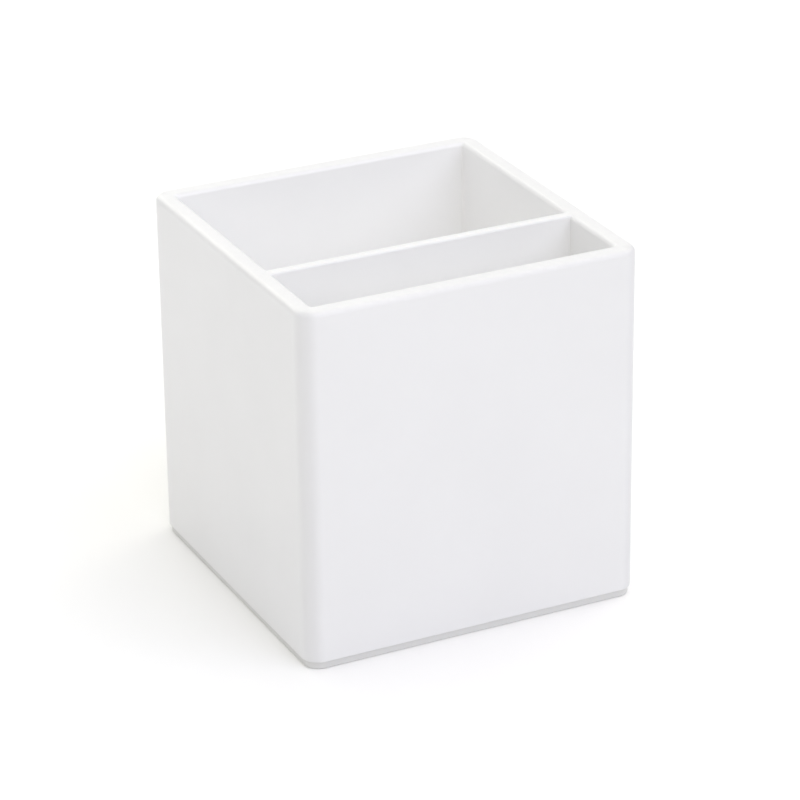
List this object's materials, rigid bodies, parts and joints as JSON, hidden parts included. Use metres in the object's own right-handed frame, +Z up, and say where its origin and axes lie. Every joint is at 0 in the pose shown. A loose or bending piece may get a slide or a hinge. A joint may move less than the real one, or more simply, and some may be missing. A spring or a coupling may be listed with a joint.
{
  "type": "pen cup",
  "caption": "Square open-topped desk cup with rounded corners, a lift-out divider panel that splits it into a narrow and a wide compartment, and a low inset plinth with round non-slip feet.",
  "frame": {"origin": "on the surface the cup stands on, under the middle of the cup", "axes": "+Z up, out of the cup's mouth; -Y towards the front face, the one beside the narrow compartment; +X to the right seen from the front"},
  "size_m": [0.08, 0.08, 0.0827],
  "materials": {
    "white_plastic": "satin white, smooth moulded",
    "pad_rubber": "matte, fine grain"
  },
  "bodies": {
    "cup": {"cup_body": "white_plastic", "foot_front_left": "pad_rubber", "foot_front_right": "pad_rubber", "foot_back_left": "pad_rubber", "foot_back_right": "pad_rubber"},
    "divider": {"divider_panel": "white_plastic"}
  },
  "joints": [
    {"name": "divider_lift", "type": "slide", "parent": "cup", "child": "divider", "axis": [0, 0, 1], "range_m": [0, 0.085]}
  ]
}
